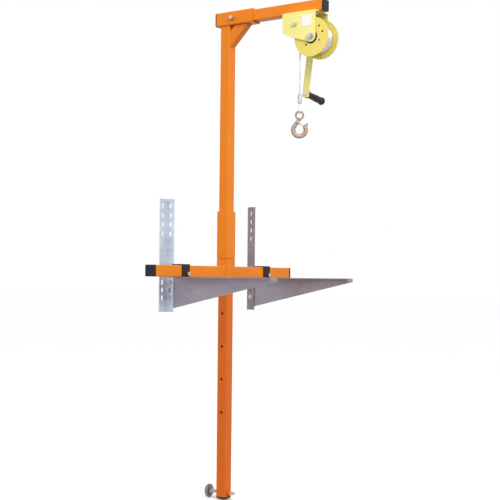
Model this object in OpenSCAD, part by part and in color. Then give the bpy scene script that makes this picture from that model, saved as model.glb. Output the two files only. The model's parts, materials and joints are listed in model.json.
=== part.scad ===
// Wall-bracket hand-winch hoist: a mast on a crossbar that rests on two wall brackets,
// a boom on top, and a hand winch that lifts a load on a wire rope.
// Origin: wall plane, midway between the arms, level with the arms' top faces.
// +X points away from the wall, +Y runs along the crossbar, +Z is up. Millimetres.

/* [Wall brackets] */
// Distance from one arm to the other
arm_gap = 494; // [420:2:600]
// How far an arm reaches from the wall
arm_reach = 470; // [380:5:560]
// Depth of an arm at the wall
arm_root = 110; // [90:1:140]
// Depth of an arm at its tip
arm_tip = 13; // [10:1:30]
// Width of an arm's top flange
arm_flange = 35; // [30:1:50]
// Sheet thickness of rails and arms
plate_t = 2.5; // [2:0.5:4]
// Length of a wall rail
rail_len = 398; // [350:2:500]
// How far a rail reaches below the arm's top
rail_drop = 124; // [120:1:150]
// Width of the rail's leg on the wall
rail_wall_leg = 40; // [35:1:50]
// Width of the rail's leg that stands out
rail_out_leg = 34; // [30:1:45]
// Width of the slots in a rail
slot_w = 9; // [7:0.5:11]
// Length of the slots in a rail
slot_len = 18; // [14:1:22]

/* [Frame tubes] */
// Side of the crossbar, mast and boom tubes
tube_w = 40; // [36:1:50]
// Wall of those tubes
tube_wall = 3; // [2:0.5:4]
// Side of the sockets and sleeves
sleeve_w = 50; // [48:1:60]
// Room between a tube and the sleeve it slides in
sleeve_gap = 1; // [0.5:0.25:1.5]
// Distance of the mast's axis from the wall
mast_x = 80; // [70:1:110]
// Overall length of the crossbar
bar_len = 832; // [700:2:1000]
// Length of the end caps' heads on the crossbar
bar_cap_l = 11; // [6:1:16]
// How far the crossbar stands off centre in the socket, toward the crank's back
bar_shift = 14; // [0:2:20]
// Height of the mast socket's top
socket_top = 66; // [60:1:90]
// Height of the mast socket's lower end
socket_low = -30; // [-40:1:-20]
// Length of the sleeve on the lower mast
joint_sleeve_len = 175; // [140:5:220]
// How deep the lower mast sits in that sleeve
joint_depth = 75; // [60:1:90]
// Height of the lower mast's foot
mast_foot = -804; // [-900:1:-700]
// Height of the boom's axis
boom_z = 948; // [850:1:1050]
// Distance of the boom's end from the wall
boom_end = 497; // [480:1:560]
// Distance between the holes in the lower mast
hole_pitch = 120; // [100:1:125]

/* [Winch] */
// Height of the drum's axis below the boom
drum_drop = 92; // [84:1:100]
// Distance of the drum's axis from the wall
drum_x = 465; // [455:1:468]
// Radius of the drum's flanges
flange_r = 69; // [60:1:70]
// Radius of the drum's core
core_r = 24.5; // [20:0.5:26]
// Thickness of the rope
rope_d = 5; // [4:0.5:6]
// Layers of rope on the drum
rope_layers = 5; // [3:1:5]
// Teeth on the drum's gear
gear_teeth = 52; // [52:1:52]
// Teeth on the pinion
pinion_teeth = 13; // [13:1:13]
// Tooth size of the gears
gear_module = 2.5; // [2.5:0.5:2.5]
// Length of the crank between its two axes
crank_len = 226; // [180:1:240]
// Lean of the crank from the vertical
crank_lean = 7; // [0:1:20]
// Length of the crank's grip
grip_len = 105; // [90:1:120]
// Downward lean of the grip at its outer end, degrees
grip_tilt = 7; // [0:1:8]

/* [Rope and hook] */
// Height of the hook's lowest point
hook_low = 486; // [300:1:500]
// Turn of the hook about the rope
hook_turn = 35.5; // [0:0.5:90]

/* [Hidden] */
$fn = 64;
eps = 0.01;
body_gap = 0.3;
tube_r = 3;
plug_l = 16;

// Brackets
rail_top = rail_len - rail_drop;
arm_y = [-arm_gap / 2, arm_gap / 2];
bend_r = 4;
upper_slots = [for (i = [0:3]) rail_top - 24 - 33 * i];
lower_slots = [-20, -47, -74];
arm_bolt_z = [lower_slots[0], lower_slots[2]];
arm_bolt_x = 18;
arm_bolt_d = 8;
washer_t = 1.6;

// Crossbar, socket and stirrups
bar_z = tube_w / 2;
half_bar = bar_len / 2;
bar_y = -bar_shift;
sleeve_in = tube_w + 2 * sleeve_gap;
stirrup_t = 4;
stirrup_w = 40;
stirrup_y = [for (y = arm_y) y + 2 * plate_t - stirrup_w / 2];
clamp_y = 10;
clamp_z = 11;

// Masts
sleeve_low = socket_top + body_gap;
lower_top = sleeve_low + joint_depth;
sleeve_top = sleeve_low + joint_sleeve_len;
upper_low = lower_top + body_gap;
boom_low = boom_z - sleeve_w / 2;
mast_hole_d = 10.5;
first_hole = -132;
pad_x = 8;
pad_z = mast_foot + 20;
rod_d = 12;
pad_t = 14.5;
pad_r = 24;
tail_x = mast_x + 48;

// Boom sleeve and brace
sleeve_back = mast_x - 36;
sleeve_front = mast_x + 125;
brace_leg = 78;
brace_depth = 40;
brace_w = 30;
brace_wall = 2.5;
lock_x = mast_x + 38;
boom_back = mast_x - 10;

// Winch
frame_t = 3;
base_z = boom_z - tube_w / 2;
drum_z = base_z - drum_drop;
near_y = -42;
far_y = 44;
axle_r = 10;
axle_end_r = 6;
run = 0.08;
flange_t = 2.5;
near_flange_y = -36.5;
far_flange_y = 28;
gear_y = far_flange_y + flange_t;
gear_w = 8;
mesh_angle = 142;
centre_d = gear_module * (gear_teeth + pinion_teeth) / 2;
pin_x = drum_x + centre_d * cos(mesh_angle);
pin_z = drum_z + centre_d * sin(mesh_angle);
shaft_r = 7;
frame_back = 348;
frame_front = 484;
frame_corner_r = frame_front - drum_x;
flange_holes = [[46, 48], [46, 16], [36, -25], [34, -129]];
wound_r = core_r + rope_layers * rope_d;
ratchet_r = 31;
ratchet_n = 16;
ratchet_y = far_y + 4;
brake_t = 3.5;
hub_y = ratchet_y + 4 + brake_t;
crank_y = 72;
crank_t = 6;
crank_w = 25;
grip_start = crank_t + 2.5;
knob_x = pin_x - crank_len * sin(crank_lean);
knob_z = pin_z - crank_len * cos(crank_lean);
pawl_x = pin_x + 49;
pawl_z = pin_z + 12;

// Rope and hook
rope_x = drum_x - wound_r - rope_d / 2 - body_gap;
rope_y = near_flange_y + flange_t + 1 + 1.5 * rope_d;
hook_wire = 8;
bowl_r = 22;
bowl_z = hook_low + bowl_r + hook_wire;
eye_z = bowl_z + 51.5;
eye_r = 13;
eye_wire = 3.6;
loop_r = 7.5;
loop_z = eye_z + eye_r - eye_wire - rope_d / 2 - body_gap + loop_r;
ferrule_low = loop_z + 26;
ferrule_h = 33;
latch_pin_r = 1.55;
latch_x = -7;
latch_z = bowl_z + 27;

// ---- shared shapes ----

// Square with round corners
module round_square(w, r) {
  square([w - 2 * r, w], center = true);
  square([w, w - 2 * r], center = true);
  for (x = [-1, 1], y = [-1, 1])
    translate([x * (w / 2 - r), y * (w / 2 - r)])
      circle(r);
}

// Square tube standing on z = 0
module tube(w, wall, len) {
  linear_extrude(len)
    difference() {
      round_square(w, tube_r);
      round_square(w - 2 * wall, 1.5);
    }
}

// Round hole cutter through everything, along X, Y or Z
module hole_x(r, len = 200) {
  rotate([0, 90, 0])
    cylinder(r = r, h = len, center = true);
}

module hole_y(r, len = 200) {
  rotate([90, 0, 0])
    cylinder(r = r, h = len, center = true);
}

// Upright slot, cut along Y
module slot_y(w, len, depth) {
  translate([-w / 2, -depth / 2, -(len - w) / 2])
    cube([w, depth, len - w]);
  for (s = [-1, 1])
    translate([0, 0, s * (len - w) / 2])
      hole_y(w / 2, depth);
}

// Hexagon prism along +Z, by its width across flats
module hex(flats, h) {
  cylinder(d = flats / cos(30), h = h, $fn = 6);
}

// Hexagon head and shank along -Z, head's seat at z = 0
module hex_bolt(d, len, flats, head) {
  intersection() {
    hex(flats, head);
    cylinder(r1 = flats * 0.75, r2 = flats * 0.53, h = head);
  }
  translate([0, 0, -len])
    cylinder(d = d, h = len + eps);
}

// Nut along +Z
module hex_nut(d, flats, h) {
  difference() {
    hex(flats, h);
    translate([0, 0, -1])
      cylinder(d = d, h = h + 2);
  }
}

// Moulded plug for a square tube: head from z = 0 to head, stem below
module tube_plug(head) {
  linear_extrude(head - 2)
    round_square(tube_w, tube_r);
  translate([0, 0, head - 2])
    linear_extrude(2)
      round_square(tube_w - 3, tube_r);
  translate([0, 0, -plug_l])
    linear_extrude(plug_l)
      difference() {
        round_square(tube_w - 2 * tube_wall, 1.5);
        round_square(tube_w - 2 * tube_wall - 4, 1);
      }
}

// ---- wall brackets ----

// Slotted angle rail; turn is -1 or 1 for the side its wall leg points to
module rail(y, turn) {
  color("silver")
    difference() {
      translate([0, y, -rail_drop]) {
        cube([rail_out_leg, plate_t, rail_len]);
        translate([0, turn < 0 ? plate_t - rail_wall_leg : 0, 0])
          cube([plate_t, rail_wall_leg, rail_len]);
      }
      for (z = concat(upper_slots, lower_slots)) {
        translate([arm_bolt_x, y, z])
          slot_y(slot_w, slot_len, 12);
        translate([0, y + turn * rail_wall_leg * 0.55, z])
          rotate([0, 0, 90])
            slot_y(slot_w, slot_len, 12);
      }
    }
}

module left_rail() {
  rail(arm_y[0], -1);
}

module right_rail() {
  rail(arm_y[1], 1);
}

// Folded section of an arm: upright web and a top flange towards -Y
module arm_section() {
  translate([-plate_t, -arm_root])
    square([plate_t, arm_root - bend_r]);
  translate([-arm_flange, -plate_t])
    square([arm_flange - bend_r, plate_t]);
  translate([-bend_r, -bend_r])
    intersection() {
      difference() {
        circle(bend_r);
        circle(bend_r - plate_t);
      }
      square(bend_r);
    }
}

// Tapered arm; its web lies against the +Y face of the rail
module arm(y) {
  start = plate_t + 0.5;
  lip = rail_out_leg + 4;
  color("darkgray")
    translate([0, y + 2 * plate_t, 0])
      difference() {
        union() {
          intersection() {
            translate([start, 0, 0])
              rotate([90, 0, 90])
                linear_extrude(arm_reach - start)
                  arm_section();
            rotate([90, 0, 0])
              translate([0, 0, -20])
                linear_extrude(100)
                  polygon([
                    [start, -arm_root], [rail_out_leg + 2, -arm_root],
                    [arm_reach, -arm_tip], [arm_reach, 1], [start, 1]
                  ]);
          }
          translate([arm_reach - plate_t, -arm_flange, -arm_tip])
            cube([plate_t, arm_flange - plate_t, arm_tip - eps]);
        }
        translate([0, -arm_flange - 1, -bend_r - 2])
          cube([lip, arm_flange + 1 - plate_t, bend_r + 3]);
        for (z = arm_bolt_z)
          translate([arm_bolt_x, 0, z])
            hole_y(arm_bolt_d / 2 + 0.25, 20);
      }
}

module left_arm() {
  arm(arm_y[0]);
}

module right_arm() {
  arm(arm_y[1]);
}

// Runs its children at each of the four bolts that hold the arms to the rails
module at_arm_bolts(offset) {
  for (y = arm_y, z = arm_bolt_z)
    translate([arm_bolt_x, y + offset, z])
      rotate([90, 0, 0])
        children();
}

module arm_bolts() {
  color("gainsboro")
    at_arm_bolts(-washer_t)
      hex_bolt(arm_bolt_d, 22, 13, 5.3);
}

module arm_washers() {
  color("gainsboro")
    at_arm_bolts(0)
      difference() {
        cylinder(r = 9, h = washer_t);
        translate([0, 0, -1])
          cylinder(d = arm_bolt_d, h = 4);
      }
}

module arm_nuts() {
  color("gainsboro")
    at_arm_bolts(2 * plate_t + 6.5)
      hex_nut(arm_bolt_d, 13, 6.5);
}

// ---- crossbar ----

module bar_half(side) {
  color("darkorange")
    translate([mast_x, side < 0 ? bar_y - half_bar + bar_cap_l : sleeve_w / 2, bar_z])
      rotate([-90, 0, 0])
        tube(tube_w, tube_wall, half_bar - bar_cap_l - sleeve_w / 2 + side * bar_y);
}

module crossbar_left() {
  bar_half(-1);
}

module crossbar_right() {
  bar_half(1);
}

module bar_cap(side) {
  color("#222222")
    translate([mast_x, bar_y + side * (half_bar - bar_cap_l), bar_z])
      rotate([-side * 90, 0, 0])
        tube_plug(bar_cap_l);
}

module left_bar_cap() {
  bar_cap(-1);
}

module right_bar_cap() {
  bar_cap(1);
}

// Square sleeve standing on z = 0 with the running bore for a tube
module guide(len) {
  linear_extrude(len)
    difference() {
      round_square(sleeve_w, 4);
      round_square(sleeve_in, tube_r);
    }
}

module mast_socket() {
  color("darkorange")
    translate([mast_x, 0, socket_low])
      guide(socket_top - socket_low);
}

// Strap bent over the crossbar
module stirrup(y) {
  inside = tube_w + 2 * body_gap;
  outside = inside + 2 * stirrup_t;
  top = tube_w + body_gap;
  color("#1c1c1c")
    difference() {
      translate([mast_x - outside / 2, y - stirrup_w / 2, 1])
        cube([outside, stirrup_w, top + stirrup_t - 1]);
      translate([mast_x - inside / 2, y - stirrup_w, -1])
        cube([inside, 2 * stirrup_w, top + 1]);
      translate([mast_x + outside / 2, y + clamp_y, clamp_z])
        hole_x(4.2, 2 * stirrup_t + 4);
    }
}

// Screw through the stirrup's front leg that bears on the crossbar
module clamp_bolt(y) {
  color("gainsboro")
    translate([mast_x + tube_w / 2 + body_gap + stirrup_t, y + clamp_y, clamp_z])
      rotate([0, 90, 0])
        hex_bolt(8, stirrup_t, 13, 6);
}

module left_stirrup() {
  stirrup(stirrup_y[0]);
}

module right_stirrup() {
  stirrup(stirrup_y[1]);
}

module left_clamp_bolt() {
  clamp_bolt(stirrup_y[0]);
}

module right_clamp_bolt() {
  clamp_bolt(stirrup_y[1]);
}

// ---- lower mast ----

module lower_mast() {
  foot = mast_foot + 6;
  color("darkorange")
    difference() {
      translate([mast_x, 0, foot])
        tube(tube_w, tube_wall, lower_top - foot);
      for (i = [0:3])
        translate([mast_x, 0, first_hole - i * hole_pitch])
          hole_y(mast_hole_d / 2, 60);
      translate([mast_x, 0, pad_z])
        hole_x(rod_d / 2 + 0.06, 60);
    }
}

module mast_sleeve() {
  color("darkorange")
    translate([mast_x, 0, sleeve_low])
      difference() {
        union() {
          translate([0, 0, 3])
            linear_extrude(joint_sleeve_len - 3)
              round_square(sleeve_w, 4);
          linear_extrude(4)
            round_square(sleeve_w - 3.6, 3);
        }
        translate([0, 0, -1])
          linear_extrude(joint_depth + 1)
            round_square(tube_w, tube_r);
        translate([0, 0, joint_depth - eps])
          linear_extrude(joint_sleeve_len)
            round_square(sleeve_in, tube_r);
      }
}

module foot_cap() {
  color("#222222")
    difference() {
      translate([mast_x, 0, mast_foot + 6])
        rotate([180, 0, 0])
          tube_plug(6);
      translate([mast_x, 0, pad_z])
        hole_x(rod_d / 2 + 1, 60);
    }
}

module pad_nut() {
  color("darkorange")
    translate([mast_x + tube_w / 2, 0, pad_z])
      rotate([0, 90, 0])
        difference() {
          hex(19, 10);
          translate([0, 0, -1])
            cylinder(r = rod_d / 2 + 0.06, h = 12);
        }
}

// ---- wall pad ----

module pad_rod() {
  hub = pad_x + pad_t + 8.5;
  color("gray")
    translate([hub, 0, pad_z])
      rotate([0, 90, 0])
        cylinder(d = rod_d, h = tail_x - hub);
}

// Round foot that presses on the wall
module pad_disc() {
  color("dimgray")
    translate([pad_x, 0, pad_z])
      rotate([0, 90, 0])
        rotate_extrude()
          polygon([
            [0, 0], [pad_r - 5, 0], [pad_r - 1.5, 1.5], [pad_r, 4], [pad_r, pad_t - 6],
            [pad_r - 3, pad_t - 2.5], [13, pad_t - 0.5], [0, pad_t - 0.5]
          ]);
}

module pad_hub() {
  color("silver")
    translate([pad_x + pad_t - 0.5, 0, pad_z])
      rotate([0, 90, 0])
        hex(19, 9);
}

// ---- upper mast ----

module upper_mast() {
  color("darkorange")
    translate([mast_x, 0, upper_low])
      tube(tube_w, tube_wall, boom_low - upper_low);
}

module boom_sleeve() {
  color("darkorange")
    difference() {
      translate([sleeve_back, 0, boom_z])
        rotate([90, 0, 90])
          guide(sleeve_front - sleeve_back);
      translate([lock_x, -sleeve_w / 2, boom_z])
        hole_y(4.1, 12);
    }
}

// Diagonal tube in the corner between mast and boom
module brace() {
  inner_leg = brace_leg - brace_depth * sqrt(2);
  skin = brace_wall * sqrt(2);
  x0 = mast_x + tube_w / 2;
  color("darkorange")
    translate([0, brace_w / 2, 0])
      rotate([90, 0, 0])
        difference() {
          linear_extrude(brace_w)
            polygon([
              [x0, boom_low - brace_leg], [x0, boom_low - inner_leg],
              [x0 + inner_leg, boom_low], [x0 + brace_leg, boom_low]
            ]);
          translate([0, 0, brace_wall])
            linear_extrude(brace_w - 2 * brace_wall)
              polygon([
                [x0 - 1, boom_low - brace_leg + skin - 1],
                [x0 - 1, boom_low - inner_leg - skin - 1],
                [x0 + inner_leg + skin + 1, boom_low + 1],
                [x0 + brace_leg - skin + 1, boom_low + 1]
              ]);
        }
}

module sleeve_cap() {
  color("#222222")
    translate([sleeve_back, 0, boom_z])
      rotate([90, 0, -90])
        union() {
          linear_extrude(4)
            round_square(sleeve_w, 4);
          translate([0, 0, 4 - eps])
            linear_extrude(2)
              round_square(sleeve_w - 4, 4);
          translate([0, 0, -10])
            linear_extrude(10)
              difference() {
                round_square(sleeve_in, tube_r);
                round_square(sleeve_in - 5, 2);
              }
        }
}

module boom_lock_nut() {
  color("darkorange")
    translate([lock_x, -sleeve_w / 2, boom_z])
      rotate([90, 0, 0])
        difference() {
          hex(13, 6.5);
          translate([0, 0, -1])
            cylinder(r = 4.06, h = 9);
        }
}

module boom_lock_screw() {
  color("gainsboro")
    translate([lock_x, -sleeve_w / 2 - 9, boom_z])
      rotate([90, 0, 0])
        hex_bolt(8, 9 + (sleeve_w - tube_w) / 2 - body_gap, 13, 5.3);
}

// ---- boom and winch frame ----

module boom_tube() {
  color("darkorange")
    translate([boom_back, 0, boom_z])
      rotate([90, 0, 90])
        tube(tube_w, tube_wall, boom_end - boom_back);
}

module boom_cap() {
  color("#222222")
    translate([boom_end, 0, boom_z])
      rotate([90, 0, 90])
        tube_plug(5);
}

// Where a line from p touches a circle about c, on its lower side
function touch_angle(p, c, r) =
  atan2(p[1] - c[1], p[0] - c[0]) + acos(r / norm(p - c));

// Outline of a side plate in X and Z
module side_plate() {
  c = [drum_x, drum_z];
  low = [366, base_z - 80];
  a = touch_angle(low, c, frame_corner_r);
  difference() {
    union() {
      polygon([
        [frame_back, base_z], [frame_front, base_z], [frame_front, drum_z], c,
        c + frame_corner_r * [cos(a), sin(a)], low, [frame_back + 1, base_z - 66]
      ]);
      translate(c)
        circle(frame_corner_r);
    }
    translate(c)
      circle(axle_end_r);
    translate([pin_x, pin_z])
      circle(shaft_r + run);
  }
}

// Base plate with two folded side plates
module winch_frame() {
  color("gold")
    difference() {
      union() {
        translate([frame_back, near_y, base_z - frame_t])
          cube([frame_front - frame_back, far_y - near_y, frame_t]);
        for (y = [near_y + frame_t, far_y])
          translate([0, y, 0])
            rotate([90, 0, 0])
              linear_extrude(frame_t)
                side_plate();
      }
      for (x = [371, 461])
        translate([x, 0, base_z])
          cylinder(r = 5.1, h = 20, center = true);
    }
}

module winch_bolts() {
  color("gainsboro")
    for (x = [371, 461])
      translate([x, 0, base_z - frame_t])
        rotate([180, 0, 0])
          hex_bolt(10, frame_t - eps, 16, 6.4);
}

module blank_label() {
  color("white")
    translate([426, near_y - 0.4, base_z - 56])
      cube([44, 0.4, 42]);
}

module drum_axle() {
  color("silver")
    translate([drum_x, 0, drum_z])
      rotate([-90, 0, 0]) {
        translate([0, 0, near_y + frame_t])
          cylinder(r = axle_r, h = far_y - near_y - 2 * frame_t);
        translate([0, 0, near_y - 11])
          cylinder(r = axle_end_r, h = far_y - near_y + 22);
      }
}

module axle_nuts() {
  color("silver")
    translate([drum_x, 0, drum_z])
      for (y = [near_y, far_y])
        translate([0, y, 0])
          rotate([y < 0 ? 90 : -90, 0, 0]) {
            difference() {
              cylinder(r = 12, h = 2);
              translate([0, 0, -1])
                cylinder(r = axle_end_r, h = 4);
            }
            translate([0, 0, 2])
              hex_nut(2 * axle_end_r, 18, 7.5);
          }
}

// ---- drum ----

// Places a turned piece on the drum's axis, from y upwards
module on_drum(y) {
  translate([drum_x, y, drum_z])
    rotate([-90, 0, 0])
      children();
}

module drum_core() {
  y0 = near_flange_y + flange_t;
  color("gold")
    on_drum(y0)
      difference() {
        cylinder(r = core_r, h = far_flange_y - y0);
        translate([0, 0, -1])
          cylinder(r = axle_r + run, h = 100);
      }
}

module near_flange() {
  color("gold")
    on_drum(near_flange_y)
      difference() {
        cylinder(r = flange_r, h = flange_t);
        translate([0, 0, -1])
          cylinder(r = axle_r + run, h = 5);
        for (h = flange_holes)
          rotate([0, 0, -h[1]])
            translate([h[0], 0, -1])
              cylinder(r = 4, h = 5);
      }
}

module far_flange() {
  color("gold")
    on_drum(far_flange_y)
      difference() {
        cylinder(r = flange_r, h = flange_t);
        translate([0, 0, -1])
          cylinder(r = axle_r + run, h = 5);
      }
}

// Point of an involute about a base circle, t in degrees of unroll
function involute(rb, t) =
  let (s = t * PI / 180)
    [rb * (cos(t) + s * sin(t)), rb * (sin(t) - s * cos(t))];
function turned(p, a) = [p[0] * cos(a) - p[1] * sin(a), p[0] * sin(a) + p[1] * cos(a)];
function unroll(rb, r) = sqrt(pow(r / rb, 2) - 1) * 180 / PI;

// Gear outline with involute teeth; slack thins each flank for running backlash
module gear_outline(teeth, slack) {
  pitch_r = gear_module * teeth / 2;
  rb = pitch_r * cos(20);
  tip_r = pitch_r + 0.8 * gear_module;
  root_r = pitch_r - 1.1 * gear_module;
  start_r = max(rb, root_r);
  t_pitch = unroll(rb, pitch_r);
  skew = t_pitch - atan(t_pitch * PI / 180);
  half = 90 / teeth - slack / pitch_r * 180 / PI + skew;
  steps = 4;
  polygon([
    for (i = [0:teeth - 1])
      let (a = i * 360 / teeth)
        each concat(
          start_r > root_r ? [turned([root_r, 0], a - half)] : [],
          [
            for (k = [0:steps])
              turned(involute(rb, unroll(rb, start_r + (tip_r - start_r) * k / steps)), a - half)
          ],
          [
            for (k = [steps:-1:0])
              let (p = involute(rb, unroll(rb, start_r + (tip_r - start_r) * k / steps)))
                turned([p[0], -p[1]], a + half)
          ],
          start_r > root_r ? [turned([root_r, 0], a + half)] : []
        )
  ]);
}

module drum_gear() {
  color("silver")
    on_drum(gear_y)
      difference() {
        linear_extrude(gear_w)
          rotate([0, 0, -mesh_angle])
            gear_outline(gear_teeth, 0.15);
        translate([0, 0, -1])
          cylinder(r = axle_r + run, h = 20);
        translate([0, 0, 3])
          difference() {
            cylinder(r = 56, h = 10);
            cylinder(r = 18, h = 10);
          }
      }
}

// Wound rope as one closed ring, ribbed turn by turn
module rope_windings() {
  y0 = near_flange_y + flange_t;
  turns = floor((far_flange_y - y0) / rope_d);
  slack = (far_flange_y - y0 - turns * rope_d) / 2;
  color("lightgray")
    on_drum(y0 + slack)
      difference() {
        union() {
          cylinder(r = wound_r - rope_d / 2, h = turns * rope_d);
          for (i = [0:turns - 1])
            translate([0, 0, (i + 0.5) * rope_d])
              rotate_extrude()
                translate([wound_r - rope_d / 2, 0])
                  circle(d = rope_d, $fn = 24);
        }
        translate([0, 0, -1])
          cylinder(r = core_r, h = 100);
      }
}

module rope_anchor() {
  h = flange_holes[2];
  color("#333333")
    on_drum(near_flange_y)
      rotate([0, 0, -h[1]])
        translate([h[0], 0, -1])
          cylinder(r = 4, h = 3.4);
}

// ---- crank shaft ----

module on_shaft(y) {
  translate([pin_x, y, pin_z])
    rotate([-90, 0, 0])
      children();
}

module pinion_shaft() {
  color("silver")
    on_shaft(near_y - 8)
      cylinder(r = shaft_r, h = crank_y + crank_t - near_y + 8);
}

module pinion() {
  color("silver")
    on_shaft(gear_y)
      difference() {
        linear_extrude(gear_w)
          rotate([0, 0, -mesh_angle])
            gear_outline(pinion_teeth, 0.15);
        translate([0, 0, -1])
          cylinder(r = shaft_r, h = 20);
      }
}

module ratchet_wheel() {
  step = 360 / ratchet_n;
  color("dimgray")
    on_shaft(ratchet_y)
      difference() {
        linear_extrude(4)
          polygon([
            for (i = [0:ratchet_n - 1], k = [0, 1])
              let (a = i * step + k * step * 0.12, r = k == 0 ? ratchet_r : ratchet_r - 5)
                [r * cos(a), r * sin(a)]
          ]);
        translate([0, 0, -1])
          cylinder(r = shaft_r, h = 20);
      }
}

module brake_discs() {
  color("saddlebrown")
    for (y = [ratchet_y - brake_t, ratchet_y + 4])
      on_shaft(y)
        difference() {
          cylinder(r = 23, h = brake_t);
          translate([0, 0, -1])
            cylinder(r = shaft_r, h = 20);
        }
}

module brake_hub() {
  depth = crank_y - hub_y;
  color("gold")
    on_shaft(hub_y)
      difference() {
        union() {
          cylinder(r = 25, h = 5);
          cylinder(r = 15, h = depth);
        }
        translate([0, 0, -1])
          cylinder(r = shaft_r, h = 40);
      }
}

// Flat bar from the shaft to the grip's pin
module crank_arm() {
  end = crank_len + 13;
  color("gold")
    difference() {
      on_shaft(crank_y)
        rotate([0, 0, crank_lean])
          difference() {
            union() {
              linear_extrude(crank_t)
                translate([-crank_w / 2, 0])
                  square([crank_w, end]);
              cylinder(r = 17, h = crank_t);
            }
            translate([0, 0, -1])
              cylinder(r = shaft_r, h = 20);
          }
      on_knob(crank_y)
        translate([0, 0, -10]) {
          cylinder(r = 4, h = 30);
          cylinder(r = 7, h = 10);
        }
    }
}

module crank_nut() {
  color("silver")
    on_shaft(crank_y + crank_t) {
      cylinder(r = 11, h = 2);
      translate([0, 0, 2 - eps])
        hex(17, 8);
    }
}

// Places a turned piece on the grip's axis
module on_knob(y) {
  translate([knob_x, y, knob_z])
    rotate([-90 - grip_tilt, 0, 0])
      children();
}

module grip_pin() {
  color("silver")
    on_knob(crank_y) {
      translate([0, 0, -3])
        cylinder(r = 7, h = 3);
      cylinder(r = 4, h = grip_start + grip_len + 2);
      translate([0, 0, grip_start + grip_len + 1.2])
        cylinder(r = 6, h = 2.5);
    }
}

module crank_grip() {
  color("#222222")
    on_knob(crank_y)
      translate([0, 0, grip_start])
        difference() {
          rotate_extrude()
            polygon([
              [0, 0], [13.5, 0], [14.5, 1], [14.5, 5], [12, 8], [11, grip_len * 0.3],
              [12.5, grip_len * 0.55], [12, grip_len * 0.8], [14.5, grip_len - 6],
              [14.5, grip_len - 1.5], [13, grip_len], [0, grip_len]
            ]);
          translate([0, 0, -1])
            cylinder(r = 4 + run, h = grip_len + 3);
        }
}

// ---- pawl ----

module on_pawl(y) {
  translate([pawl_x, y, pawl_z])
    rotate([-90, 0, 0])
      children();
}

module pawl_pivot() {
  color("silver")
    on_pawl(far_y) {
      cylinder(r = 5, h = 10.5);
      translate([0, 0, 10.5 - eps])
        cylinder(r = 8, h = 2);
    }
}

module pawl_spring() {
  color("silver")
    on_pawl(far_y + 0.2)
      difference() {
        cylinder(r = 7.5, h = 2.6);
        translate([0, 0, -1])
          cylinder(r = 5, h = 6);
      }
}

module pawl() {
  color("dimgray")
    on_pawl(ratchet_y - 0.8)
      difference() {
        union() {
          cylinder(r = 10, h = 5.4);
          linear_extrude(5.4)
            polygon([[-6, -9], [-12.5, 4], [-17, 16], [-13, 18], [0, 9.5], [6, 0]]);
        }
        translate([0, 0, -1])
          cylinder(r = 5 + run, h = 10);
      }
}

// ---- rope end ----

// Places a piece on the rope's axis, turned with the hook
module on_rope(z) {
  translate([rope_x, rope_y, z])
    rotate([0, 0, hook_turn])
      children();
}

module hanging_rope() {
  low = ferrule_low + ferrule_h;
  color("lightgray")
    translate([rope_x, rope_y, low])
      cylinder(d = rope_d, h = drum_z - low);
}

module rope_ferrule() {
  color("silver")
    on_rope(ferrule_low)
      rotate_extrude()
        polygon([[0, 0], [6, 0], [7.5, 3], [7.5, ferrule_h - 4], [5, ferrule_h], [0, ferrule_h]]);
}

// Eye of rope that passes through the hook's eye
module rope_loop() {
  lean = atan((loop_r - 3) / (ferrule_low - loop_z));
  leg = (ferrule_low - loop_z) / cos(lean) - rope_d / 2 * sin(lean);
  color("lightgray")
    on_rope(loop_z)
      rotate([90, 0, 90]) {
        rotate_extrude(angle = -180)
          translate([loop_r, 0])
            circle(d = rope_d, $fn = 32);
        for (s = [-1, 1])
          translate([s * loop_r, 0, 0])
            rotate([-90, 0, s * lean])
              cylinder(d = rope_d, h = leg);
      }
}

// ---- hook ----

// Round bar between two points of the hook's own plane, X and Z
module bar(a, b, ra, rb) {
  d = b - a;
  translate([a[0], 0, a[1]])
    rotate([0, atan2(d[0], d[1]), 0])
      cylinder(r1 = ra, r2 = rb, h = norm(d));
}

module ball(p, r) {
  translate([p[0], 0, p[1]])
    sphere(r);
}

module hook() {
  neck = [0, eye_z - eye_r - 1];
  heel = [-17.5, bowl_z + 14];
  tip_start = bowl_r * [cos(28), sin(28)] + [0, bowl_z];
  tip = tip_start + [7, 11];
  color("peru")
    on_rope(0)
      difference() {
        union() {
          translate([0, 0, eye_z])
            rotate([90, 0, 0])
              rotate_extrude()
                translate([eye_r, 0])
                  circle(eye_wire, $fn = 32);
          bar(neck, heel, 6.5, hook_wire - 0.4);
          ball(heel, hook_wire + 0.1);
          translate([0, 0, bowl_z])
            rotate([90, 0, 0])
              rotate([0, 0, 145])
                rotate_extrude(angle = 243)
                  translate([bowl_r, 0])
                    circle(hook_wire);
          ball(tip_start, hook_wire + 0.05);
          bar(tip_start, tip, hook_wire - 0.3, 3.2);
          ball(tip, 3.4);
        }
        translate([latch_x, 0, latch_z])
          hole_y(latch_pin_r, 30);
      }
}

// Spring latch across the hook's mouth
module latch() {
  end = [11, bowl_z + 15.5];
  d = end - [latch_x, latch_z];
  color("silver")
    on_rope(0)
      translate([latch_x, 0, latch_z])
        rotate([0, atan2(d[0], d[1]), 0])
          difference() {
            union() {
              translate([-1, -10.2, 9])
                cube([2, 20.4, norm(d) - 9]);
              for (y = [-10.2, 8.6])
                translate([-3.5, y, -4])
                  cube([5.5, 1.6, 17]);
            }
            hole_y(latch_pin_r + run, 30);
          }
}

module latch_pin() {
  color("silver")
    on_rope(0)
      translate([latch_x, 0, latch_z])
        rotate([90, 0, 0])
          cylinder(r = latch_pin_r, h = 22, center = true);
}

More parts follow.
